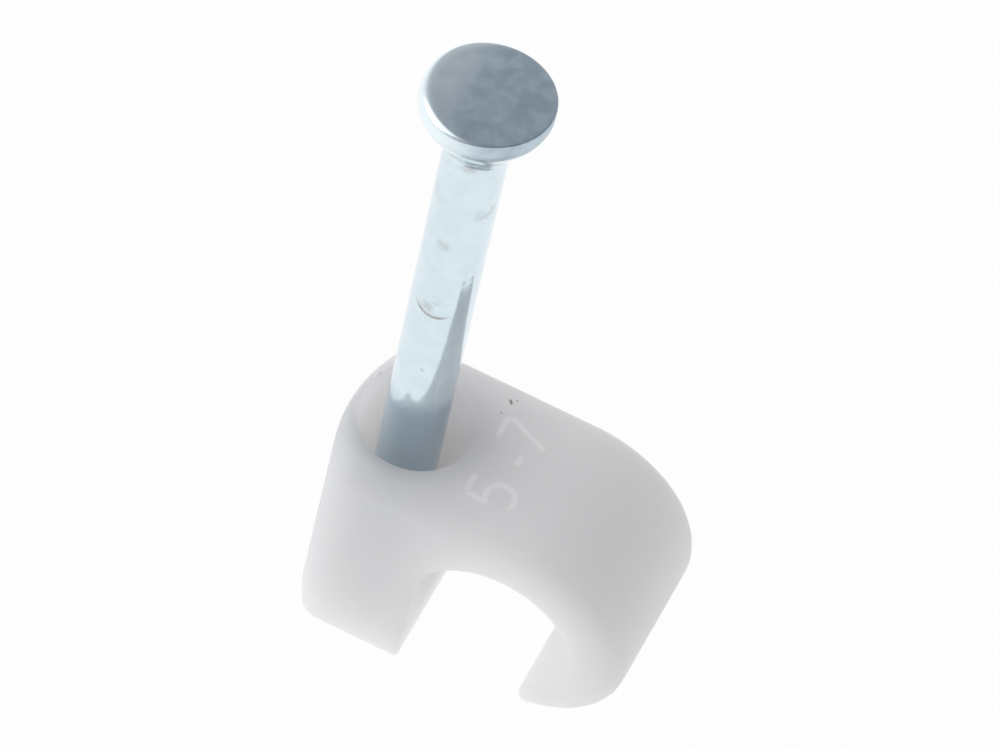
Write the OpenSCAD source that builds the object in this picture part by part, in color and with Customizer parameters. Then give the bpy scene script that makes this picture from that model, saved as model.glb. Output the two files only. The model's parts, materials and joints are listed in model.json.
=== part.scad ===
// Nail-in cable clip: a moulded hook that holds one round cable against a wall, with its steel nail
// waiting in the socket beside the cable. The nail's axis stands on the wall plane at the origin,
// +Z leaves the wall, +X points from the nail to the cable, and the cable runs along Y.

/* [Cable hook] */
// Diameter of the round arch that the cable lies in
arch_d = 5.3; // [3:0.1:9]
// Height of the middle of the arch above the wall
arch_rise = 3.5; // [3:0.1:6]
// Thickness of the bridge above the cable
bridge = 1.7; // [1:0.1:3]
// Thickness of the hook at the side of the cable
hook_wall = 1.7; // [1:0.1:3]
// How much the shoulder's radius is larger than the arch's
shoulder_extra = 1.45; // [0.8:0.05:1.6]
// How much the lower bend's radius is larger than the arch's
bend_extra = 0.7; // [0.6:0.05:1.2]
// Angle below the horizontal at which the lip ends
lip_angle = 55; // [30:1:66]
// Radius of the lip's rounded nose
lip_nose = 0.45; // [0.1:0.05:0.45]

/* [Column] */
// Depth of the clip along the cable
clip_depth = 6; // [4:0.1:10]
// Wall between the nail's bore and the cable
cable_side_wall = 0.9; // [0.5:0.1:2]
// Wall between the socket's mouth and the end of the clip
end_wall = 0.35; // [0.3:0.05:2]
// Radius of the shallow arc at the end of the clip, seen from above
end_arc = 5.5; // [4:0.1:12]
// Radius of the clip's upright corners
corner_round = 0.85; // [0.75:0.05:1]
// Rounding of the outer edges
edge_round = 0.7; // [0.2:0.05:0.7]

/* [Nail socket] */
// Diameter of the socket's mouth
mouth_d = 3.7; // [3:0.1:5]
// Height of the tight bore that grips the shank
grip_height = 4.6; // [3:0.1:6]
// Gap between the shank and its bore, all round
nail_gap = 0.04; // [0.02:0.01:0.15]

/* [Nail] */
// Diameter of the shank
shank_d = 2; // [1.4:0.1:2.6]
// Length of the nail from its point to the top of its head
nail_length = 24.2; // [14:0.1:40]
// Diameter of the head
head_d = 4.1; // [3:0.1:6]
// Height of the head's rim
head_rim = 0.35; // [0.35:0.05:1]
// Height of the cone under the head
head_cone = 0.85; // [0.2:0.05:1.5]
// Rounding of the head's upper edge
head_round = 0.2; // [0.05:0.05:0.3]
// Length of the four-sided point
point_length = 3; // [1.5:0.1:5]
// Height of the point above the wall before the nail is driven
point_height = 0.3; // [0.1:0.1:1]
// How far the waiting nail leans along X, in degrees
lean_x = -0.7; // [-1:0.05:1]
// How far the waiting nail leans along Y, in degrees
lean_y = 0; // [-1:0.05:1]

/* [Hidden] */
$fn = 96;
// Overshoot of a cutting solid past the face that it cuts
over = 1;
// How far the lip's nose dips into the arch, so that the two arcs cross cleanly
nose_sink = 0.04;
arch_r = arch_d/2;
shank_r = shank_d/2;
mouth_r = mouth_d/2;
head_r = head_d/2;
bore_r = shank_r + nail_gap;
// The column reaches from the end of the clip to the wall beside the cable
column_end = -(mouth_r + end_wall);
column_side = bore_r + cable_side_wall;
// The arch touches the column's wall, and the bridge and hook lie outside it
arch_x = column_side + arch_r;
clip_height = arch_rise + arch_r + bridge;
hook_side = arch_x + arch_r + hook_wall;
// The shoulder and the lower bend are two arcs that meet square to the hook's widest point
shoulder_r = arch_r + shoulder_extra;
bend_r = arch_r + bend_extra;
shoulder_x = hook_side - shoulder_r;
bend_x = hook_side - bend_r;
hook_middle = clip_height - shoulder_r;
// The corner posts lie inside the end arc, at corner_angle from the clip's long axis. They stand proud of
// it by a hair, so that the two surfaces cross instead of only touching
corner_proud = 0.01;
end_x = column_end + end_arc;
corner_y = clip_depth/2 - corner_round;
corner_reach = end_arc - corner_round + corner_proud;
corner_angle = asin(corner_y/corner_reach);
// Kept to whole microns, so that the posts and the straight stretch share one plane
corner_x = round(1000*(end_x - corner_reach*cos(corner_angle)))/1000;

// A block's section with its two upper corners rounded, centred on its width, foot on the first axis
module crowned_section(width, height, rim) {
    translate([-width/2, 0])
        square([width, height - rim]);
    translate([-width/2 + rim, 0])
        square([width - 2*rim, height]);
    for (side = [-1, 1])
        translate([side*(width/2 - rim), height - rim])
            circle(rim);
}

// Half of a revolved post's section: axis on the left, upper outer corner rounded
module post_section(radius, height, rim) {
    intersection() {
        crowned_section(2*radius, height, rim);
        square([radius, height]);
    }
}

// A sector of a disc that lies across the cable's axis, with both of its rims rounded
module rimmed_sector(radius, start, sweep) {
    rotate([90, 0, 0])
        rotate([0, 0, start])
            rotate_extrude(angle = sweep)
                rotate([0, 0, -90])
                    crowned_section(clip_depth, radius, edge_round);
}

// A round post that stands on the wall, with its upper rim rounded
module post(radius) {
    rotate_extrude()
        post_section(radius, clip_height, edge_round);
}

// One upright corner, between the bowed end and the straight side
module upright_corner() {
    translate([corner_x, corner_y, 0])
        post(corner_round);
}

// The shallow arc that bows the end of the clip: a slice of a wide post, from corner to corner
module bowed_end() {
    slice = 2*end_arc*[-cos(corner_angle), sin(corner_angle)];
    inner_y = end_x*tan(corner_angle);
    intersection() {
        translate([end_x, 0, 0])
            post(end_arc);
        translate([0, 0, -over])
            linear_extrude(clip_height + 2*over)
                polygon([
                    [0, -inner_y],
                    [0, inner_y],
                    [end_x + slice[0], slice[1]],
                    [end_x + slice[0], -slice[1]]
                ]);
    }
}

// The straight stretch between the bowed end and the shoulder
module bridge_block() {
    translate([corner_x, 0, 0])
        rotate([90, 0, 90])
            linear_extrude(shoulder_x - corner_x)
                crowned_section(clip_depth, clip_height, edge_round);
}

// The hook's shoulder, full to its centre until the cable space is cut
module shoulder() {
    translate([shoulder_x, 0, hook_middle])
        rimmed_sector(shoulder_r, 0, 90);
}

// The hook's lower bend, which carries the lip
module lower_bend() {
    translate([bend_x, 0, hook_middle])
        rimmed_sector(bend_r, -90, 90);
}

// Outline of the cable space: the arch, and the open wedge below it that stops at the lip's nose
module cable_space_outline() {
    reach = clip_height + hook_side;
    nose_path = arch_r + lip_nose - nose_sink;
    translate([arch_x, arch_rise]) {
        circle(arch_r);
        difference() {
            polygon([
                [0, 0],
                reach*[cos(lip_angle), -sin(lip_angle)],
                [-arch_r, -reach],
                [-arch_r, 0]
            ]);
            translate(nose_path*[cos(lip_angle), -sin(lip_angle)])
                circle(lip_nose);
        }
    }
}

module cable_space() {
    translate([0, clip_depth/2 + over, 0])
        rotate([90, 0, 0])
            linear_extrude(clip_depth + 2*over)
                cable_space_outline();
}

// The socket: a tight bore that grips the shank, opening into a funnel at the top
module nail_socket() {
    funnel = clip_height - grip_height;
    slope = (mouth_r - bore_r)/funnel;
    translate([0, 0, -over])
        cylinder(r = bore_r, h = clip_height + over);
    translate([0, 0, grip_height])
        cylinder(r1 = bore_r, r2 = mouth_r + slope*over, h = funnel + over);
}

module clip() {
    color("whitesmoke")
        difference() {
            union() {
                bridge_block();
                bowed_end();
                upright_corner();
                mirror([0, 1, 0])
                    upright_corner();
                shoulder();
                lower_bend();
            }
            cable_space();
            nail_socket();
        }
}

// Half outline of the nail from its foot to the crown of its head, turned round the axis
module nail_outline() {
    rim_foot = nail_length - head_rim;
    square([shank_r, nail_length - head_round]);
    polygon([
        [0, rim_foot - head_cone],
        [shank_r, rim_foot - head_cone],
        [head_r, rim_foot],
        [0, rim_foot]
    ]);
    translate([0, rim_foot])
        post_section(head_r, head_rim, head_round);
}

// Four slanting cuts that leave a square point on the axis
module point_cuts() {
    slant = atan(shank_r/point_length);
    for (turn = [0:90:270])
        rotate([0, 0, turn])
            rotate([0, slant, 0])
                translate([0, -shank_d, -over])
                    cube([shank_d, 2*shank_d, point_length + shank_d + over]);
}

module nail() {
    grip_middle = (point_height + point_length + grip_height)/2;
    color("lightsteelblue")
        translate([0, 0, grip_middle])
            rotate([-lean_y, lean_x, 0])
                translate([0, 0, point_height - grip_middle])
                    difference() {
                        rotate_extrude()
                            nail_outline();
                        point_cuts();
                    }
}

clip();
nail();
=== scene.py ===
# %% [markdown]
# # A nail-in cable clip
# A white moulded hook holds one cable against a wall, and a zinc-plated nail waits in the socket beside
# the cable. The packed CAD model gives the frame: its two nodes and its mounts say where everything is, in
# metres, with the nail's axis at the origin, +X towards the cable and +Z out of the wall.

# %% Load the frame and keep its box
import json

import bmesh
import bpy
import numpy as np
from mathutils import Matrix, Vector


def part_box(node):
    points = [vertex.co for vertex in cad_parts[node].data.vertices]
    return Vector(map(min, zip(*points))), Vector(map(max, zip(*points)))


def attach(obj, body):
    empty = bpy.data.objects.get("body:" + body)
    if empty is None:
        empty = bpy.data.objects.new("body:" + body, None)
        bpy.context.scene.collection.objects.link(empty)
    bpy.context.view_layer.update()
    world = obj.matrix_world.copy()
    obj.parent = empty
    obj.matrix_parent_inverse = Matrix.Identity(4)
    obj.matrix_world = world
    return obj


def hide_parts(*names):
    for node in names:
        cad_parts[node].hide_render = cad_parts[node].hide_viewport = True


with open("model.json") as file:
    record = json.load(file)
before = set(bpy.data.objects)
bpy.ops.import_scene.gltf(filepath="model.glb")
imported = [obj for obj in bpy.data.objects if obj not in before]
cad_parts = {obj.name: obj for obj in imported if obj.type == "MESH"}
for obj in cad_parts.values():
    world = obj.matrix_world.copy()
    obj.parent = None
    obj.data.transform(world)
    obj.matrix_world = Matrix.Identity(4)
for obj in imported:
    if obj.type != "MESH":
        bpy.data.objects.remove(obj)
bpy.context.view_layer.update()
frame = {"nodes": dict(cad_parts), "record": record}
print("nodes:", sorted(frame["nodes"]))

# %% [markdown]
# The shapes are worked out in millimetres, because a clip this small is measured in them, and turned into
# metres when a mesh is made. Overall sizes come from the frame. Only what a box can't tell, such as the
# roundings, is written as a value of its own where it is first needed.

# %% Read the driving sizes from the frame
MM = 0.001
clip_low, clip_high = (np.array(corner)/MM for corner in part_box("clip"))
_, nail_high = (np.array(corner)/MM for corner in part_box("nail"))
mounts = {mount["name"]: mount for mount in frame["record"]["mounts"]}
seat = np.array(mounts["cable_seat"]["pos_m"])[[0, 2]]/MM
seat_r = mounts["cable_seat"]["dims"]["r_mm"]
half_depth = clip_high[1]
clip_top = clip_high[2]
column_end = clip_low[0]
column_side = seat[0] - seat_r
hook_side = clip_high[0]
print(f"arch {2*seat_r:.2f} mm wide, clip {clip_top:.2f} mm high, nail up to {nail_high[2]:.2f} mm")

# %% [markdown]
# Every piece is a grid of points, made from whole arrays and put into a mesh in one go. One helper takes
# a grid whose rows are closed loops, joins neighbouring loops with quads, and closes the first and last
# loop with one flat face each.

# %% Helper: a mesh from a stack of closed loops
MERGE_MM = 0.0005
SMOOTH_ANGLE = 40


def loop_faces(rows, columns):
    """Quads between neighbouring loops of a grid: point (i, j), the next point of the same loop, and the
    same two points of the next loop, all counted row by row."""
    i, j = np.meshgrid(np.arange(rows - 1), np.arange(columns), indexing="ij")
    after = (j + 1) % columns
    corners = [i*columns + j, i*columns + after, (i + 1)*columns + after, (i + 1)*columns + j]
    return np.stack(corners, axis=-1).reshape(-1, 4).tolist()


def tidy_mesh(mesh):
    """Merges doubled points, turns faces outwards, and smooths all edges but the sharp ones."""
    work = bmesh.new()
    work.from_mesh(mesh)
    bmesh.ops.remove_doubles(work, verts=work.verts, dist=MERGE_MM*MM)
    bmesh.ops.dissolve_degenerate(work, edges=work.edges, dist=MERGE_MM*MM)
    bmesh.ops.recalc_face_normals(work, faces=work.faces)
    work.to_mesh(mesh)
    work.free()
    mesh.shade_smooth()
    mesh.set_sharp_from_angle(angle=np.radians(SMOOTH_ANGLE))


def loops_to_object(name, *grids):
    """One object from grids of closed loops in millimetres, each with shape (rows, columns, 3)."""
    points, faces = [], []
    for grid in grids:
        rows, columns, _ = grid.shape
        base = len(points)
        ends = [list(range(columns)), list(range((rows - 1)*columns, rows*columns))]
        faces += [[base + k for k in face] for face in loop_faces(rows, columns) + ends]
        points += (grid.reshape(-1, 3)*MM).tolist()
    mesh = bpy.data.meshes.new(name)
    mesh.from_pydata(points, [], faces)
    piece = bpy.data.objects.new(name, mesh)
    bpy.context.scene.collection.objects.link(piece)
    tidy_mesh(mesh)
    return piece


print("three loops of eight points are joined by", len(loop_faces(3, 8)), "quads")

# %% [markdown]
# The clip is one moulding, so its skin is one surface. Seen from the front it is a bent band: the column
# stands on the wall, turns into the bridge, and curls round the cable to a thin lip. An inner line follows
# the column's wall and the arch, an outer line follows the end, top, shoulder and lower bend. Both are cut
# into the same number of steps, and a pair of steps is one station of the band.

# %% Clip: the roundings and the lip's nose
edge_round = 0.7
soft_edge = 0.13
foot_round = 0.06
shoulder_extra = 1.45
bend_extra = 0.7
lip_nose = 0.45
lip_angle = np.radians(55)
shoulder_r = seat_r + shoulder_extra
bend_r = seat_r + bend_extra
shoulder_middle = np.array([hook_side - shoulder_r, clip_top - shoulder_r])
bend_middle = np.array([hook_side - bend_r, shoulder_middle[1]])
lip_out = np.array([np.cos(lip_angle), -np.sin(lip_angle)])
lip_along = np.array([-np.sin(lip_angle), -np.cos(lip_angle)])
nose_middle = seat + (seat_r + lip_nose)*lip_out
# The lower bend ends on the lip's own line: the distance solves |seat + t lip_out - bend_middle| = bend_r
offset = seat - bend_middle
lip_end = seat + lip_out*(np.sqrt((offset @ lip_out)**2 - offset @ offset + bend_r**2) - offset @ lip_out)
nose_reach = (lip_end - nose_middle) @ lip_out
bend_sweep = np.arctan2(lip_end[1] - bend_middle[1], lip_end[0] - bend_middle[0])
print(f"the lower bend turns {-np.degrees(bend_sweep):.1f} degrees to the lip at {lip_end.round(2)}")

# %% Clip: the band's two lines, station by station
STATIONS = {"wall": 30, "fillet": 9, "top": 34, "shoulder": 30, "bend": 24, "nose": 9}
NOSE_LEFT_OPEN = 0.04
# Where the stretches begin on the arch, in degrees above the horizontal
ARCH_FILLET, ARCH_TOP, ARCH_SHOULDER, ARCH_BEND = 180, 158, 86, 4


def on_circle(middle, radius, angle):
    """Points of a circle in the X-Z plane: the middle plus radius times (cos, sin) of the angle."""
    return middle + radius*np.stack([np.cos(angle), np.sin(angle)], axis=-1)


def stretch_steps(name, start, stop):
    """Even steps from start towards stop, one for each station of a stretch."""
    return np.linspace(start, stop, STATIONS[name], endpoint=False)


def arch(name, start, stop):
    """Stations on the arch between two angles above the horizontal, in degrees."""
    return on_circle(seat, seat_r, np.radians(stretch_steps(name, start, stop)))


def upright(x, z):
    """Points (x, z) from two arrays, or from an array and one value."""
    return np.stack(np.broadcast_arrays(x, z), axis=-1)


turn = stretch_steps("fillet", 0, np.pi/2)
nose_turn = np.linspace(np.pi/2, NOSE_LEFT_OPEN, STATIONS["nose"])[:, None]
nose_front = nose_middle + lip_nose*np.cos(nose_turn)*lip_along
fillet_x = column_end + edge_round*(1 - np.cos(turn))
fillet_z = clip_top - edge_round*(1 - np.sin(turn))
outer = np.concatenate([
    upright(column_end, stretch_steps("wall", foot_round, clip_top - edge_round)),
    upright(fillet_x, fillet_z),
    upright(stretch_steps("top", column_end + edge_round, shoulder_middle[0]), clip_top),
    on_circle(shoulder_middle, shoulder_r, stretch_steps("shoulder", np.pi/2, 0)),
    on_circle(bend_middle, bend_r, stretch_steps("bend", 0, bend_sweep)),
    nose_front + nose_reach*np.sin(nose_turn)*lip_out,
])
inner = np.concatenate([
    upright(column_side, stretch_steps("wall", foot_round, seat[1])),
    arch("fillet", ARCH_FILLET, ARCH_TOP),
    arch("top", ARCH_TOP, ARCH_SHOULDER),
    arch("shoulder", ARCH_SHOULDER, ARCH_BEND),
    arch("bend", ARCH_BEND, -np.degrees(lip_angle)),
    nose_front - lip_nose*np.sin(nose_turn)*lip_out,
])
print(len(outer), "stations from", outer[0].round(2), "to", outer[-1].round(2))

# %% [markdown]
# Each station is a closed loop round the band. Half of it goes from the inner line to the outer line:
# across the arch, over a soft edge, along the flat side, over the generous outer rounding, and back across
# the outside. The end of the column is bowed, with round corners. The rounding is what a rolling ball
# leaves, so while the ball climbs the end, all radii of the plan shrink by the same inset.

# %% Clip: the plan of the bowed end
end_arc = 5.5
corner_round = 0.85
end_x = column_end + end_arc
corner_y = half_depth - corner_round
corner_angle = np.arcsin(corner_y/(end_arc - corner_round))
corner_x = end_x - (end_arc - corner_round)*np.cos(corner_angle)
print(f"the round corners stand at x {corner_x:.3f}, y {corner_y:.3f} mm")

# %% Clip: what changes from station to station
# The bow has faded out after 1/BOW_FADE of the top; the roundings are kept to shares of the band's thickness
BOW_FADE = 2.5
RIM_SHARE = 0.8
LIP_RIM_SHARE = 0.5
SOFT_SHARE = 0.42
TIP_START = 0.5
lip_soft = 0.36
lip_corner = 0.34
names = list(STATIONS)
stretch = np.repeat(np.arange(len(names)), list(STATIONS.values()))
within = np.concatenate([np.arange(n)/n for n in STATIONS.values()])


def ramp(name):
    """0 before the named stretch, 1 after it, and even steps within it, for every station."""
    return np.clip(stretch + within - names.index(name), 0, 1)


thickness = np.linalg.norm(outer - inner, axis=1)
roll = np.pi/2*ramp("fillet")
inset = edge_round*(1 - np.cos(roll))
bow = np.clip(1 - BOW_FADE*ramp("top"), 0, 1)**2
# Towards the lip's tip the outer rounding shrinks and the soft inner edge grows, until they meet
to_tip = np.clip((ramp("bend") + ramp("nose") - TIP_START)/(2 - TIP_START), 0, 1)**2
rim_share = RIM_SHARE + (LIP_RIM_SHARE - RIM_SHARE)*to_tip
rim = np.minimum(edge_round, rim_share*thickness)[:, None]
soft = np.minimum(soft_edge + (lip_soft - soft_edge)*to_tip, SOFT_SHARE*thickness)[:, None]
# While the nose closes, its two ends are drawn in, so the lip's corners are round seen from above as well
closing = np.where(stretch == names.index("nose"), 1 - thickness/(nose_reach + lip_nose), 0)
depth = (half_depth - lip_corner*closing)[:, None]
standing = (stretch <= names.index("fillet"))[:, None]
curled = (stretch >= names.index("shoulder"))[:, None]
middles = np.where((stretch == names.index("shoulder"))[:, None], shoulder_middle, bend_middle)
facing = np.where(curled, outer - middles, [0.0, 1.0])
facing = facing/np.linalg.norm(facing, axis=1, keepdims=True)
print("the end's bow reaches", np.count_nonzero(bow), "of", len(bow), "stations")

# %% Clip: the outer skin
ACROSS = 14
AROUND = 7


def plan_of_end():
    """Half of the end's plan outline for each station, from the middle to the straight side: the wide end
    arc, evenly spaced in y, then the corner arc, both with their radii less the station's inset."""
    wide = (end_arc - inset)[:, None]
    tight = (corner_round - inset)[:, None]
    y = wide*np.sin(corner_angle)*np.linspace(0, 1, ACROSS, endpoint=False)
    corner = np.linspace(np.pi/2 - corner_angle, 0, AROUND)
    x = np.concatenate([end_x - np.sqrt(wide**2 - y**2), corner_x - tight*np.sin(corner)], axis=1)
    return x, np.concatenate([y, corner_y + tight*np.cos(corner)], axis=1)


def outer_skin():
    """The outside from the middle to the rounding: the end's plan while the column stands, then its bow
    fades out on the flat top, and the curled hook has straight lines along y."""
    plan_x, plan_y = plan_of_end()
    bowed = outer[:, :1] + bow[:, None]*(plan_x - plan_x[:, :1])
    x = np.where(standing, plan_x, np.where(curled, outer[:, :1], bowed))
    y = np.where(curled, plan_y/plan_y[:, -1:]*(depth - rim), plan_y)
    return np.stack(np.broadcast_arrays(x, y, outer[:, 1:]), axis=-1)


print("half of the outer skin:", outer_skin().shape)

# %% Clip: half loops
LEAST_FALL = 1e-6
# The rounding gets at least the first and at most the second of these shares of the side
ROLLED_SHARES = (0.12, 0.85)


def side_and_rounding(start, stop):
    """The side from the outer skin's end to the soft edge. With h the height that is left in the rounded
    band, the rolling ball gives y = depth - rim + sqrt(rim^2 - h^2), and below the band h is 0."""
    fall = ((start - stop)*facing).sum(axis=1, keepdims=True).clip(LEAST_FALL)
    height = rim*np.sin(roll)[:, None]
    rolled = np.clip(height/fall, *ROLLED_SHARES)
    over_edge = rolled*(1 - np.cos(np.linspace(0, np.pi/2, AROUND)))[1:]
    flat = rolled + (1 - rolled)*np.linspace(0, 1, ACROSS)[1:]
    way = np.concatenate([over_edge, flat], axis=1)
    left = np.clip(height - way*fall, 0, rim)
    path = start[:, None] + way[..., None]*(stop - start)[:, None]
    return np.stack([path[..., 0], depth - rim + np.sqrt(rim**2 - left**2), path[..., 1]], axis=-1)


def half_loops():
    """Half of every loop, from the inner line's middle to the outer line's middle."""
    outside = outer_skin()
    start = outside[:, -1, [0, 2]]
    toward = (start - inner)/np.linalg.norm(start - inner, axis=1, keepdims=True)
    side = side_and_rounding(start, inner + soft*toward)
    quarter = np.linspace(0, np.pi/2, AROUND, endpoint=False)
    edge = inner[:, None] + (soft*(1 - np.cos(quarter)))[..., None]*toward[:, None]
    edge_y = depth - soft*(1 - np.sin(quarter))
    across = (depth - soft)*np.linspace(0, 1, ACROSS, endpoint=False)
    inside = np.stack(np.broadcast_arrays(inner[:, :1], across, inner[:, 1:]), axis=-1)
    soft_part = np.stack([edge[..., 0], edge_y, edge[..., 1]], axis=-1)
    return np.concatenate([inside, soft_part, side[:, ::-1], outside[:, ::-1]], axis=1)


half = half_loops()
print("half loops:", half.shape)

# %% [markdown]
# The foot gets a soft edge too, a smaller one: a few more loops below the first one, drawn in while they
# sink to the wall plane. The mirrored half closes every loop.

# %% Clip: the soft foot and the whole skin
foot_turn = np.linspace(0, np.pi/2, AROUND, endpoint=False)[:, None, None]
foot_middle = np.array([(column_end + column_side)/2, 0])
foot_half = np.array([(column_side - column_end)/2, half_depth])
foot_inset = foot_round*(1 - np.sin(foot_turn))
foot_plan = foot_middle + (half[0, :, :2] - foot_middle)*(1 - foot_inset/foot_half)
foot_rise = np.broadcast_to(foot_round*(1 - np.cos(foot_turn)), foot_plan[..., :1].shape)
half = np.concatenate([np.concatenate([foot_plan, foot_rise], axis=-1), half])
mirrored = half[:, -2:0:-1]*np.array([1, -1, 1])
clip = loops_to_object("cable_clip", np.concatenate([half, mirrored], axis=1))
print("clip skin:", len(clip.data.vertices), "points,", len(clip.data.polygons), "faces")

# %% [markdown]
# The nail's socket is a tight bore below and a funnel above. It is turned as a solid of its own and cut
# out of the skin with an exact Boolean, because the funnel's rim runs over the flat top and down the
# rounded end, where a grid of its own would have to be fitted by hand. A moulded rim is never sharp, so the
# cutter follows the clip's top: at every angle its wall bends over in an arc until it nearly lies along it.

# %% Clip: where the funnel meets the top
SOCKET_COLUMNS = 96
SLOPE_STEP = 0.01
RIM_ROUNDS = 6
bore_r = 1.04
mouth_r = 1.85
grip_height = 4.6
funnel_slope = (mouth_r - bore_r)/(clip_top - grip_height)


def top_height(radius, angle):
    """Height of the clip's top at a radius and angle from the nail's axis: flat, and rolled down where the
    bowed end is nearer than the rounding."""
    to_end = end_arc - np.hypot(radius*np.cos(angle) - end_x, radius*np.sin(angle))
    left = np.clip(edge_round - to_end, 0, edge_round)
    return clip_top - edge_round + np.sqrt(edge_round**2 - left**2)


socket_angle = np.linspace(0, 2*np.pi, SOCKET_COLUMNS, endpoint=False)
rim_r = np.full(SOCKET_COLUMNS, mouth_r)
# The rim's radius depends on the height of the top at the rim itself, and a few rounds settle both
for _ in range(RIM_ROUNDS):
    rim_r = bore_r + funnel_slope*(top_height(rim_r, socket_angle) - grip_height)
rim_z = top_height(rim_r, socket_angle)
rise = top_height(rim_r + SLOPE_STEP, socket_angle) - top_height(rim_r - SLOPE_STEP, socket_angle)
top_tilt = np.arctan(rise/(2*SLOPE_STEP))
steepest = np.degrees(-top_tilt.min())
print(f"the rim lies {rim_z.min():.2f} to {rim_z.max():.2f} mm high, tilted by up to {steepest:.0f} degrees")

# %% Helper: turned solids and Booleans
def turned(radii, heights, angle):
    """A turned solid: rows of points at radii and heights, each round the axis at the given angles."""
    return np.stack(np.broadcast_arrays(radii*np.cos(angle), radii*np.sin(angle), heights), axis=-1)


def combine(piece, tool, operation):
    """Joins a tool to a piece or cuts it away, keeps the result as the piece's mesh and drops the tool."""
    boolean = piece.modifiers.new("boolean", "BOOLEAN")
    boolean.operation = operation
    boolean.solver = "EXACT"
    boolean.use_self = True
    boolean.object = tool
    graph = bpy.context.evaluated_depsgraph_get()
    piece.data = bpy.data.meshes.new_from_object(piece.evaluated_get(graph))
    piece.modifiers.clear()
    bpy.data.objects.remove(tool)
    tidy_mesh(piece.data)


print("two turned rings are a grid of", turned(np.ones((2, 1)), np.zeros((2, 1)), socket_angle).shape)

# %% Clip: cut the socket
CROSSING = np.radians(10)
TAIL = 0.4
OVERSHOOT = 1.0
rim_round = 0.17


def socket_rows():
    """Radii and heights of the cutter: the bore, then an arc whose direction turns from the funnel's wall
    until only a small crossing angle to the top is left, and last a straight tail that clears the top."""
    wall = np.pi/2 - np.arctan(funnel_slope)
    back = rim_round*np.tan((wall - top_tilt)/2)
    middle_r = rim_r - back*np.cos(wall) + rim_round*np.sin(wall)
    middle_z = rim_z - back*np.sin(wall) - rim_round*np.cos(wall)
    turn = wall + np.linspace(0, 1, AROUND)[:, None]*(top_tilt + CROSSING - wall)
    arc_r = middle_r - rim_round*np.sin(turn)
    arc_z = middle_z + rim_round*np.cos(turn)
    tail_r = arc_r[-1:] + TAIL*np.cos(turn[-1:])
    tail_z = arc_z[-1:] + TAIL*np.sin(turn[-1:])
    level = np.ones((1, SOCKET_COLUMNS))
    radii = np.concatenate([bore_r*level, bore_r*level, arc_r, tail_r, tail_r])
    lid = (clip_top + OVERSHOOT)*level
    heights = np.concatenate([-OVERSHOOT*level, grip_height*level, arc_z, tail_z, lid])
    return radii, heights


combine(clip, loops_to_object("socket_cutter", turned(*socket_rows(), socket_angle)), "DIFFERENCE")
print("clip with its socket:", len(clip.data.polygons), "faces")

# %% [markdown]
# The nail is turned as well: a four-sided point, a plain shank, a cone with soft ends, and a flat head with a
# slightly domed top. A square point in a turned grid is only a shorter radius: towards the flats the
# square's half width divided by the larger of |cos| and |sin|, and never more than the shank. Cold forming
# never leaves a perfect head: this one is a hair out of round, sits askew, and has a crisp edge but for one
# rolled side.

# %% Nail: its sizes
NAIL_COLUMNS = 128
nail_length = 24.27
shank_r = 1.0
point_length = 3.0
point_height = 0.3
head_r = nail_high[1]
head_rim = 0.5
head_cone = 1.99
head_round = 0.36
head_dome = 0.04
lean = np.radians(-0.7)
# The head was upset a little off centre, so its edge is crisp but for one side, where it is rolled
crisp_edge = 0.06
rolled_edge_angle = np.radians(215)
# It also sits a little askew on the shank, with its high side towards this direction
head_tilt = np.radians(4.8)
high_side_angle = np.radians(308)
around = np.linspace(0, 2*np.pi, NAIL_COLUMNS, endpoint=False)
cone_foot = nail_length - head_rim - head_cone
print(f"the cone under the head starts {cone_foot:.2f} mm above the point")

# %% Nail: point and shank
POINT_ROWS = 26
SHANK_ROWS = 40
# In lengths of the point: its corners reach the shank at 1.41, and the close rows go on a little further
POINT_END = 1.6
SHANK_START = 1.7


def point_and_shank():
    """Radii and heights of the lower rows: the square's half width grows with the height, is divided by the
    larger of |cos| and |sin| of the angle, and never passes the shank's radius."""
    point = np.linspace(0, POINT_END, POINT_ROWS)*point_length
    shank = np.linspace(SHANK_START*point_length, cone_foot, SHANK_ROWS)
    heights = np.concatenate([point, shank])
    square = shank_r*heights[:, None]/point_length/np.maximum(abs(np.cos(around)), abs(np.sin(around)))
    return np.minimum(square, shank_r), np.broadcast_to(heights[:, None], square.shape)


print("point and shank:", point_and_shank()[0].shape)

# %% Nail: cone and head
CONE_ROWS = 28
CONE_SOFTNESS = 0.7
EDGE_ROWS = 12
DOME_ROWS = 16
OUT_OF_ROUND = 0.005
LOBES = 3


def cone_and_head():
    """The cone under the head, whose radius grows with the way up, in part evenly and in part as the soft
    step 3w^2 - 2w^3, and then the edge: a quarter turn whose radius goes from the crisp edge to the rolled
    one with the squared cosine of the angle from the rolled side. A low dome closes the top. The higher a
    row lies, the more it tilts with the head."""
    way = np.linspace(0, 1, CONE_ROWS)[1:, None]
    edge = np.linspace(0, np.pi/2, EDGE_ROWS)[:, None]
    dome = np.linspace(1, 0, DOME_ROWS)[1:, None]
    towards = np.clip(np.cos(around - rolled_edge_angle), 0, 1)**2
    edge_r = crisp_edge + (head_round - crisp_edge)*towards
    grown = (1 - CONE_SOFTNESS)*way + CONE_SOFTNESS*(3*way**2 - 2*way**3)
    radii = [shank_r + (head_r - shank_r)*grown, head_r - edge_r*(1 - np.cos(edge)), (head_r - edge_r)*dome]
    crown = nail_length - head_dome
    heights = [cone_foot + head_cone*way, crown - edge_r*(1 - np.sin(edge)), crown + head_dome*(1 - dome**2)]
    radii, heights = (np.concatenate([rows + 0*around for rows in kind]) for kind in (radii, heights))
    askew = np.clip((heights - cone_foot)/head_cone, 0, 1)**2
    heights = heights + askew*np.tan(head_tilt)*radii*np.cos(around - high_side_angle)
    return radii*(1 + OUT_OF_ROUND*np.cos(LOBES*around)), heights


print("cone and head:", cone_and_head()[0].shape)

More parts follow.
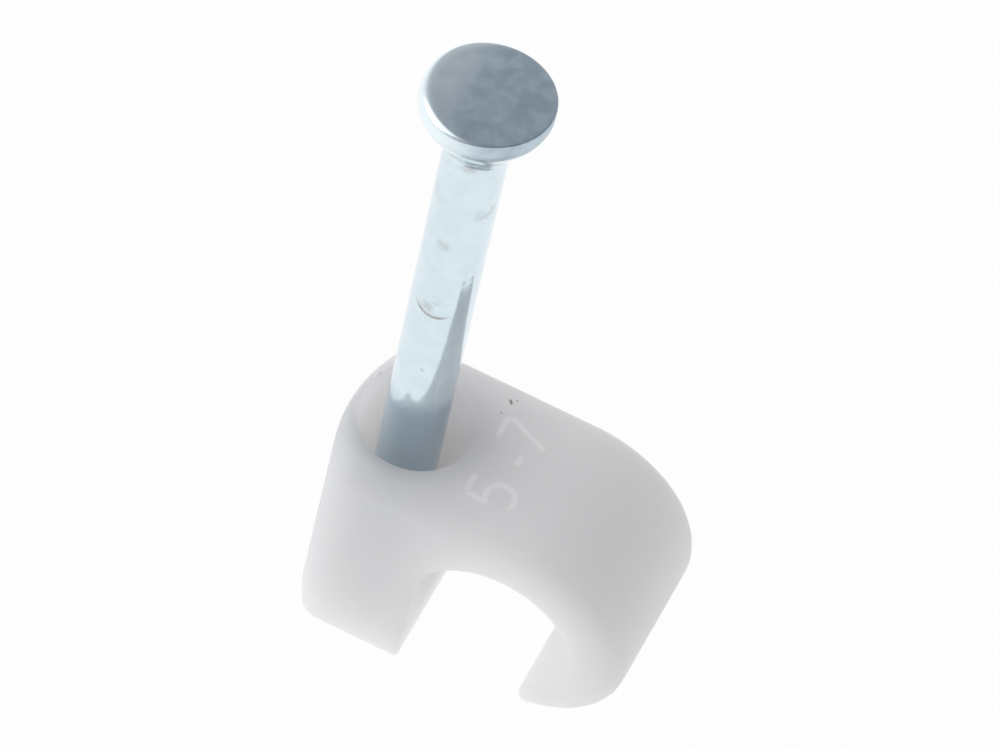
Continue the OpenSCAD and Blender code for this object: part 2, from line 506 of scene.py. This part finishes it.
# %% Nail: the whole grid, leaning in its socket
def lean_in_socket(points):
    """Turns points about Y by the lean, round the middle of the socket's grip on the shank."""
    grip_middle = np.array([0, 0, (point_height + point_length + grip_height)/2])
    turn = np.array([[np.cos(lean), 0, np.sin(lean)], [0, 1, 0], [-np.sin(lean), 0, np.cos(lean)]])
    return (points - grip_middle) @ turn.T + grip_middle


nail_radii, nail_heights = (np.concatenate(rows) for rows in zip(point_and_shank(), cone_and_head()))
standing_nail = turned(nail_radii, nail_heights + point_height, around)
nail = loops_to_object("clip_nail", lean_in_socket(standing_nail))
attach(nail, "root")
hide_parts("nail")
print("nail:", len(nail.data.polygons), "faces, size", [round(c/MM, 2) for c in nail.dimensions])

# %% [markdown]
# Clips of this kind carry the range of cable sizes as plain raised numerals. Each numeral is a few strokes,
# and a stroke is a low rounded ridge carried along a path on the top: the path's points, moved sideways by
# the ridge's half width along the normal, and up by its height. They were moulded with the clip, so the
# ridges are joined to its skin and the whole stays one mesh.

# %% Size numerals: a ridge along a path
RIDGE_POINTS = 13
EDGE_DIP = 0.004
TAPER_POWER = 12
LEAST_TAPER = 0.02
stroke_width = 0.36
stroke_height = 0.02
stroke_sunk = 0.05


def ridge(path):
    """A closed low ridge along a path of (along, up) points on the top. Across the path, at shares t of its
    half width, it rises by its height times (1 - t^2)^2, which leaves no step at its foot. A sole closes it
    below the top, and it fades at both ends."""
    along = np.gradient(path, axis=0)
    along = along/np.linalg.norm(along, axis=1, keepdims=True)
    normal = np.stack([-along[:, 1], along[:, 0]], axis=-1)
    length = np.linspace(-1, 1, len(path))
    taper = np.sqrt(np.clip(1 - np.abs(length)**TAPER_POWER, LEAST_TAPER, 1))[:, None]
    side = np.linspace(1, -1, RIDGE_POINTS)
    crown = (stroke_height + EDGE_DIP)*(1 - side**2)**2*taper - EDGE_DIP
    wide = stroke_width/2*np.concatenate([side, [-1, 1]])*taper
    sole = np.full((len(path), 2), -stroke_sunk)
    high = np.concatenate([crown, sole], axis=1)
    flat = path[:, None] + wide[..., None]*normal[:, None]
    return flat, high


print("a ridge has", RIDGE_POINTS, "points across and is", stroke_height, "mm high")

# %% Size numerals: the strokes
STROKE_POINTS = 24
NUMERAL_STARTS = {"five": -1.72, "dash": 0.02, "seven": 0.7}
# The five's bowl is most of an ellipse, with its middle and radii in shares of the numeral's size
BOWL_MIDDLE = np.array([0.46, 0.31])
BOWL_RADII = np.array([0.5, 0.31])
BOWL_START, BOWL_STOP, BOWL_POINTS = 2.3, -2.35, 15
numeral_height = 1.5
numeral_width = 0.94
numeral_foot_x = 3.93


def numeral_stroke(start, points):
    """A stroke through corner points given as shares of a numeral's width and height."""
    corners = np.array(points)*[numeral_width, numeral_height]
    length = np.concatenate([[0], np.cumsum(np.linalg.norm(np.diff(corners, axis=0), axis=1))])
    even = np.linspace(0, length[-1], STROKE_POINTS*(len(points) - 1))
    path = np.stack([np.interp(even, length, corners[:, k]) for k in (0, 1)], axis=-1)
    flat, high = ridge(path)
    return np.stack([numeral_foot_x - flat[..., 1], start + flat[..., 0], clip_top + high], axis=-1)


bowl_turn = np.linspace(BOWL_START, BOWL_STOP, BOWL_POINTS)
bowl = BOWL_MIDDLE + BOWL_RADII*np.stack([np.cos(bowl_turn), np.sin(bowl_turn)], axis=-1)
five_start, dash_start, seven_start = NUMERAL_STARTS.values()
strokes = [
    numeral_stroke(five_start, [[0.92, 1], [0.12, 1]]),
    numeral_stroke(five_start, [[0.12, 1], [0.04, 0.5]]),
    numeral_stroke(five_start, [[0.04, 0.5], *bowl.tolist()]),
    numeral_stroke(dash_start, [[0, 0.36], [0.48, 0.36]]),
    numeral_stroke(seven_start, [[0, 1], [1, 1]]),
    numeral_stroke(seven_start, [[1, 1], [0.3, 0]]),
]
combine(clip, loops_to_object("size_numerals", *strokes), "UNION")
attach(clip, "root")
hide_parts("clip")
print("clip with", len(strokes), "strokes of its numerals:", len(clip.data.polygons), "faces")

# %% [markdown]
# Finishes are node trees, and sums between sockets read best as plain arithmetic. A small class wraps a
# socket and turns +, -, * and / into Math nodes.

# %% Helper: sockets in sums
class Wire:
    """One output socket. Arithmetic on it adds a Math node to its tree."""

    def __init__(self, board, socket):
        self.board = board
        self.socket = socket

    def maths(self, operation, *operands):
        """A Math node on the operands."""
        return self.board.node("ShaderNodeMath", {"operation": operation}, dict(enumerate(operands)))

    def __add__(self, other):
        return self.maths("ADD", self, other)

    def __sub__(self, other):
        return self.maths("SUBTRACT", self, other)

    def __rsub__(self, other):
        return self.maths("SUBTRACT", other, self)

    def __mul__(self, other):
        return self.maths("MULTIPLY", self, other)

    def __truediv__(self, other):
        return self.maths("DIVIDE", self, other)

    __radd__ = __add__
    __rmul__ = __mul__

    def smooth(self, low, high):
        """0 below low, 1 above high, and a soft step between them; high may be the smaller one."""
        settings = {"interpolation_type": "SMOOTHSTEP"}
        if low < high:
            return self.board.node("ShaderNodeMapRange", settings, {0: self, 1: low, 2: high})
        return 1 - self.board.node("ShaderNodeMapRange", settings, {0: self, 1: high, 2: low})


operators = [name for name, member in vars(Wire).items() if name.startswith("__") and callable(member)]
operators.remove("__init__")
print("a Wire knows", operators)

# %% [markdown]
# A second class holds one tree and adds any other node, with its settings first and then the values or links
# of its sockets. What the finishes need often, such as noise or the distance from a point, gets a short name.

# %% Helper: node trees
class Board:
    """One node tree, cleared, that nodes are added to."""

    def __init__(self, owner):
        owner.use_nodes = True
        self.tree = owner.node_tree
        self.tree.nodes.clear()

    def node(self, kind, settings=None, sockets=None, output=0):
        """Adds a node, sets its settings, then sets or links its sockets, and gives one output."""
        made = self.tree.nodes.new(kind)
        for name, value in (settings or {}).items():
            setattr(made, name, value)
        for key, value in (sockets or {}).items():
            if isinstance(value, Wire):
                self.tree.links.new(value.socket, made.inputs[key])
            else:
                made.inputs[key].default_value = value
        return Wire(self, made.outputs[output]) if made.outputs else None

    def mix(self, share, first, second):
        """Two colours mixed by a share."""
        return self.node("ShaderNodeMix", {"data_type": "RGBA"}, {0: share, 6: first, 7: second}, output=2)

    def noise(self, place, scale, detail=2.0, roughness=0.5, distortion=0.0):
        """A noise value from 0 to 1; scale counts features per metre of the piece."""
        sockets = {"Vector": place, "Scale": scale, "Detail": detail, "Roughness": roughness}
        return self.node("ShaderNodeTexNoise", None, {**sockets, "Distortion": distortion})

    def coordinate(self, place, axis):
        """One coordinate of a place, in millimetres."""
        return self.node("ShaderNodeSeparateXYZ", None, {0: place}, axis)/MM

    def away(self, place, point):
        """The distance from a point, both in millimetres."""
        middle = tuple(np.array(point)*MM)
        return self.node("ShaderNodeVectorMath", {"operation": "DISTANCE"}, {0: place, 1: middle}, "Value")/MM

    def near(self, place, point, radius, softness=0.5):
        """1 within a radius of a point in millimetres, fading to 0 over a share of the radius."""
        return self.away(place, point).smooth(radius*(1 + softness), radius*(1 - softness))


def rgb(red, green, blue):
    """A colour socket's value from linear red, green and blue."""
    return (red, green, blue, 1.0)


print("a Board has", [name for name in vars(Board) if not name.startswith("_")])

# %% [markdown]
# The clip is white polyethylene, a little grey and lavender, with the satin skin of an eroded mould. The
# plastic lets light through, so it scatters under the surface over nearly the clip's own height. Cloudy
# variation comes from noise, and a few dark specks sit where dust was moulded in or stuck on. So long a
# scatter evens out a paler base colour, so the raised strokes get a faint glow of their own, which is kept
# from being sampled as a lamp.

# %% Finish: white moulded plastic
# Each speck: its middle and radius in millimetres, and how dark it is
SPECKS = [
    ((2.2, 2.15, 7.85), 0.05, 0.8),
    ((2.26, 2.08, 7.85), 0.05, 0.8),
    ((2.38, 2.25, 7.85), 0.035, 0.45),
    ((2.15, 1.59, 7.85), 0.04, 0.5),
    ((-1.75, 1.05, 7.75), 0.06, 0.3),
]
SPECK_TONE = rgb(0.09, 0.08, 0.075)
# Painted light: the raised strokes glow faintly with this colour, though they are no lamp
STROKE_PAINTED_GLOW = rgb(0.065, 0.064, 0.065)
CLIP_WHITE = rgb(0.905, 0.897, 0.9)
CLOUD_TINT = (0.965, 0.96, 0.975)


def plastic_finish(name, white):
    """Satin white plastic: cloudy base colour, specks, a fine mould texture as roughness and bump, and a
    faint glow that makes the raised strokes paler."""
    material = bpy.data.materials.new(name)
    board = Board(material)
    place = board.node("ShaderNodeTexCoord", output="Object")
    height = board.coordinate(place, "Z")
    cloud = board.noise(place, 260, 3.0)
    colour = board.mix(cloud, white, rgb(*(part*tint for part, tint in zip(white, CLOUD_TINT))))
    raised = height.smooth(clip_top, clip_top + stroke_height)
    grain = board.noise(place, 9000, 3.0, 0.6)
    flow = board.noise(place, 900, 2.0)
    for point, radius, darkness in SPECKS:
        ragged = board.near(place, point, radius, 0.6)*grain.smooth(0.25, 0.5)
        colour = board.mix(ragged*darkness, colour, SPECK_TONE)
    bump = board.node("ShaderNodeBump", None, {
        "Strength": 0.12,
        "Distance": 0.00002,
        "Height": grain + flow*0.6,
    })
    shader = board.node("ShaderNodeBsdfPrincipled", None, {
        "Base Color": colour,
        "Roughness": 0.42 + grain*0.1 + flow*0.06,
        "IOR": 1.5,
        "Subsurface Weight": 1.0,
        "Subsurface Radius": (1.0, 0.95, 0.9),
        "Subsurface Scale": 0.0068,
        # Painted light: a faint glow on the raised strokes makes them paler
        "Emission Color": board.mix(raised, rgb(0, 0, 0), STROKE_PAINTED_GLOW),
        "Emission Strength": 1.0,
        "Normal": bump,
    })
    board.node("ShaderNodeOutputMaterial", None, {"Surface": shader})
    material.cycles.emission_sampling = "NONE"
    return material


def dress(piece, material):
    """Gives a piece one material."""
    piece.data.materials.clear()
    piece.data.materials.append(material)


dress(clip, plastic_finish("clip_white", CLIP_WHITE))
print("plastic on", clip.name)

# %% [markdown]
# The nail is steel with bright zinc, so it is a metal: nearly all that it shows is a reflection of the white
# table and of the clip. Zinc is faintly blue, its crystals vary the gloss in small patches, and handling
# leaves smudges and scuffs, some of them brown where the plating is thin. The head's face is tarnished in
# soft patches. Light is also painted into the colour: the head's rim is a paler zinc, a painted brighter
# reflection; the face's tarnish is painted paler towards its rolled side at the left, where the light
# comes from; and the shank is darkened where it enters the socket, a painted dark reflection of the clip.

# %% Finish: marks on the zinc
# Each smear: its middle and radius in millimetres
SMEARS = [
    ((-0.04, -0.98, 22.2), 0.3),
    ((0.7, -0.5, 19.8), 0.34),
    ((-0.27, -0.99, 18.1), 0.2),
    ((-0.95, -0.6, 20.1), 0.35),
    ((-0.15, -1.0, 14.95), 0.42),
    ((0.04, -0.99, 11.8), 0.07),
]
# A brown scratch, a stretch of the ring with this radius round its own middle
SCRATCH_RING = ((-0.05, -0.99, 15.53), 0.98)
SCRATCH_MIDDLE = ((-0.18, -0.98, 14.65), 0.5)
SCRATCH_WIDTH = 0.1
SCRATCH_CORE = 0.02


def zinc_marks(board, place, blotch):
    """Where the zinc is soiled, from 0 to 1: blurred smears, and one thin curved scratch."""
    marks = 0.0
    for point, radius in SMEARS:
        marks = board.near(place, point, radius, 0.8)*blotch.smooth(0.35, 0.7)*0.4 + marks
    middle, radius = SCRATCH_RING
    across = board.away(place, middle)
    inside = across.smooth(radius - SCRATCH_WIDTH, radius)
    ring = inside*across.smooth(radius + SCRATCH_WIDTH, radius + SCRATCH_CORE)
    return ring*board.near(place, *SCRATCH_MIDDLE, 0.4)*0.85 + marks


print(len(SMEARS), "smears and a scratch of", 2*SCRATCH_MIDDLE[1], "mm length")

# %% Finish: bright zinc
ZINC = rgb(0.71, 0.83, 0.885)
SMUDGED_ZINC = rgb(0.47, 0.585, 0.68)
# Painted brighter reflection: a paler zinc for the head's rim and the top of its cone
RIM_ZINC_PAINTED_BRIGHT = rgb(0.87, 0.97, 1.0)
TARNISH_PALE = rgb(0.53, 0.64, 0.71)
TARNISH_DARK = rgb(0.395, 0.49, 0.575)
# Painted dark reflection: a darker zinc for the shank near the socket
PAINTED_DARK_REFLECTION_ZINC = rgb(0.41, 0.52, 0.61)
SOIL = rgb(0.36, 0.30, 0.26)
# The head fades in below its rim, and its face ends at these distances from its own middle
HEAD_FADE = 0.3
FACE_MIDDLE = (0.08, 0.05, 0.0)
FACE_EDGE = (head_r + 0.25, head_r - 0.15)
# Painted light: between these X values, towards the light at the left, the face's tarnish pales by this share
LIT_SIDE_FROM, LIT_SIDE_TO, LIT_SIDE_PALING = -0.2, -1.9, 0.45
head_level = nail_length + point_height - head_rim
# Painted dark reflection of the clip: it darkens the shank, with a ragged edge, up to this far above the clip
DARK_REFLECTION_REACH = 2.2
dark_reflection_level = clip_top + DARK_REFLECTION_REACH


def zinc_finish(name):
    """Bright blue-white zinc, tarnished face, marks; painted light: paler rim and left face, darker shank at
    socket.
    """
    material = bpy.data.materials.new(name)
    board = Board(material)
    place = board.node("ShaderNodeTexCoord", output="Object")
    height = board.coordinate(place, "Z")
    fine = board.noise(place, 5200, 3.0, 0.6)
    blotch = board.noise(place, 2600, 2.0)
    smudge = board.noise(place, 1150, 3.0, 0.55, 0.5).smooth(0.34, 0.66)
    crystal = board.node("ShaderNodeTexVoronoi", None, {"Vector": place, "Scale": 5500}, "Distance")
    flat = board.node("ShaderNodeVectorMath", {"operation": "MULTIPLY"}, {0: place, 1: (1.0, 1.0, 0.0)})
    head = height.smooth(head_level - HEAD_FADE, head_level)
    # Painted light: the face is paler towards the window and lamp at the left
    painted_lit_side = board.coordinate(place, "X").smooth(LIT_SIDE_FROM, LIT_SIDE_TO)
    face = head*board.away(flat, FACE_MIDDLE).smooth(*FACE_EDGE)*(1 - painted_lit_side*LIT_SIDE_PALING)
    # Painted dark reflection: the shank darkens towards the socket, where it mirrors the clip's shaded top
    # and bore
    painted_dark_reflection = (height + fine*0.6).smooth(dark_reflection_level + 0.5, dark_reflection_level - 0.4)
    marks = zinc_marks(board, place, blotch)
    colour = board.mix(smudge*0.16, ZINC, SMUDGED_ZINC)
    # Painted brighter reflection: the head's rim is given the paler zinc
    colour = board.mix(head, colour, RIM_ZINC_PAINTED_BRIGHT)
    tarnish = board.noise(place, 1900, 2.5, 0.5, 0.25).smooth(0.25, 0.75)
    colour = board.mix(face, colour, board.mix(tarnish, TARNISH_PALE, TARNISH_DARK))
    colour = board.mix(painted_dark_reflection*0.75, colour, PAINTED_DARK_REFLECTION_ZINC)
    colour = board.mix(marks*0.75, colour, SOIL)
    stretched = board.node("ShaderNodeMapping", None, {"Vector": place, "Scale": (1.0, 1.0, 0.08)})
    drawn = board.noise(stretched, 9000, 2.0)
    bump = board.node("ShaderNodeBump", None, {
        "Strength": 0.2,
        "Distance": 0.00002,
        "Height": drawn*0.4 + fine*0.3 + smudge*0.4,
    })
    shader = board.node("ShaderNodeBsdfPrincipled", None, {
        "Base Color": colour,
        "Metallic": 1.0 - marks*0.6,
        "Roughness": 0.06 + head*0.1 + face*0.17 + smudge*0.03 + crystal*0.05 + marks*0.3,
        "Normal": bump,
    })
    board.node("ShaderNodeOutputMaterial", None, {"Surface": shader})
    return material


dress(nail, zinc_finish("nail_zinc"))
print("zinc on", nail.name)

# %% [markdown]
# The clip stands on a white light table that fills the picture. To the camera, and in reflections, the
# table is nearly all white glow, and the rest keeps the shadow. To all other light it glows a little less.
# The photograph's clip is lit from below in this way: its foot and its lip are its lightest parts.

# %% Stage: the white table
TABLE_HALF = 600
TABLE_GLOW = 0.97
TABLE_LIGHT = 0.82
TABLE_WHITE = rgb(0.9, 0.9, 0.9)
corners = TABLE_HALF*MM*np.array([[-1, -1, 0], [1, -1, 0], [1, 1, 0], [-1, 1, 0]])
table_mesh = bpy.data.meshes.new("table")
table_mesh.from_pydata(corners.tolist(), [], [[0, 1, 2, 3]])
table = bpy.data.objects.new("table", table_mesh)
bpy.context.scene.collection.objects.link(table)


def seen(board):
    """1 for rays that the camera sees directly, in a reflection or through glass."""
    path = board.node("ShaderNodeLightPath").socket.node
    rays = ("Is Camera Ray", "Is Glossy Ray", "Is Transmission Ray")
    direct, mirrored_ray, through = (Wire(board, path.outputs[ray]) for ray in rays)
    return direct.maths("MAXIMUM", direct.maths("MAXIMUM", direct, mirrored_ray), through)


table_white = bpy.data.materials.new("table_white")
board = Board(table_white)
matt = board.node("ShaderNodeBsdfDiffuse", None, {"Color": TABLE_WHITE})
glow = board.node("ShaderNodeEmission", None, {"Color": rgb(1, 1, 1), "Strength": 1.0})
share = TABLE_LIGHT + seen(board)*(TABLE_GLOW - TABLE_LIGHT)
surface = board.node("ShaderNodeMixShader", None, {0: share, 1: matt, 2: glow})
board.node("ShaderNodeOutputMaterial", None, {"Surface": surface})
dress(table, table_white)
print("table of", 2*TABLE_HALF, "mm")

# %% [markdown]
# The room adds less light than the table. It is brightest towards a window at the left and dim overhead,
# in front and at the right, so the top of the clip is greyer than its foot. A large soft lamp at the left
# adds a little direction, and the highlight on the rolled side of the nail's head.

# %% Light: the room
ROOM_BRIGHT = 0.95
ROOM_DIM = 0.22
ROOM_ZENITH = 0.38
ROOM_COLOUR = rgb(0.955, 0.96, 1.0)
TOWARDS_WINDOW = (-0.94, 0.34, 0.0)
world = bpy.data.worlds.new("room")
bpy.context.scene.world = world
board = Board(world)
direction = board.node("ShaderNodeTexCoord", output="Generated")
skyward = board.node("ShaderNodeSeparateXYZ", None, {0: direction}, "Z").smooth(0.0, 1.0)
facing_window = board.node("ShaderNodeVectorMath", {"operation": "DOT_PRODUCT"}, {
    0: direction,
    1: TOWARDS_WINDOW,
}, "Value").smooth(-1.0, 1.0)
horizon = ROOM_DIM + facing_window*(ROOM_BRIGHT - ROOM_DIM)
strength = horizon + skyward*(ROOM_ZENITH - horizon)
room = board.node("ShaderNodeBackground", None, {"Color": ROOM_COLOUR, "Strength": strength})
board.node("ShaderNodeOutputWorld", None, {"Surface": room})
print("room from", ROOM_BRIGHT, "at the window to", ROOM_ZENITH, "overhead")

# %% Light: one soft lamp
LAMP_SIZE = 0.3
LAMP_ENERGY = 0.28
LAMP_PLACE = Vector((-0.25, -0.06, 0.22))
LAMP_AIM = Vector((0.002, 0.0, 0.006))
lamp_data = bpy.data.lights.new("soft_lamp", "AREA")
lamp_data.size = LAMP_SIZE
lamp_data.energy = LAMP_ENERGY
lamp = bpy.data.objects.new("soft_lamp", lamp_data)
lamp.location = LAMP_PLACE
lamp.rotation_euler = (LAMP_AIM - LAMP_PLACE).to_track_quat("-Z", "Y").to_euler()
bpy.context.scene.collection.objects.link(lamp)
print(f"lamp of {LAMP_ENERGY} W, {LAMP_PLACE.length/MM:.0f} mm from the origin")

# %% [markdown]
# The camera repeats the photograph's view, which was fitted to the clip's outline: from the front, a little
# to the right, looking down steeply and rolled clockwise. It stands far off with a long lens. It is aimed
# so that the origin falls on the pixel where the fit puts it, so the lens needs no shift.

# %% Camera
AZIMUTH, ELEVATION, ROLL = np.radians([14.1, 55.45, 14.0])
DISTANCE_MM = 300
PIXELS_PER_MM = 32.0
ORIGIN_PIXEL = np.array([381.4, 561.1])
IMAGE_SIZE = np.array([1000, 750])
SENSOR_MM = 36
view = np.array([np.sin(AZIMUTH)*np.cos(ELEVATION), -np.cos(AZIMUTH)*np.cos(ELEVATION), np.sin(ELEVATION)])
level = np.array([np.cos(AZIMUTH), np.sin(AZIMUTH), 0])
upward = np.cross(view, level)
across = np.cos(ROLL)*level + np.sin(ROLL)*upward
down = np.sin(ROLL)*level - np.cos(ROLL)*upward
focal_pixels = PIXELS_PER_MM*DISTANCE_MM
to_centre = IMAGE_SIZE/2 - ORIGIN_PIXEL
forward = -view*focal_pixels + across*to_centre[0] + down*to_centre[1]
forward = forward/np.linalg.norm(forward)
right = across - forward*(across @ forward)
right = right/np.linalg.norm(right)
camera_data = bpy.data.cameras.new("camera")
camera_data.sensor_width = SENSOR_MM
camera_data.lens = focal_pixels*SENSOR_MM/IMAGE_SIZE[0]
camera = bpy.data.objects.new("camera", camera_data)
turned_axes = np.stack([right, np.cross(right, forward), -forward], axis=-1)
camera.matrix_world = Matrix.Translation(view*DISTANCE_MM*MM) @ Matrix(turned_axes.tolist()).to_4x4()
bpy.context.scene.collection.objects.link(camera)
bpy.context.scene.camera = camera
bpy.context.scene.view_settings.view_transform = "Standard"
print(f"camera {DISTANCE_MM} mm away with a {camera_data.lens:.0f} mm lens")
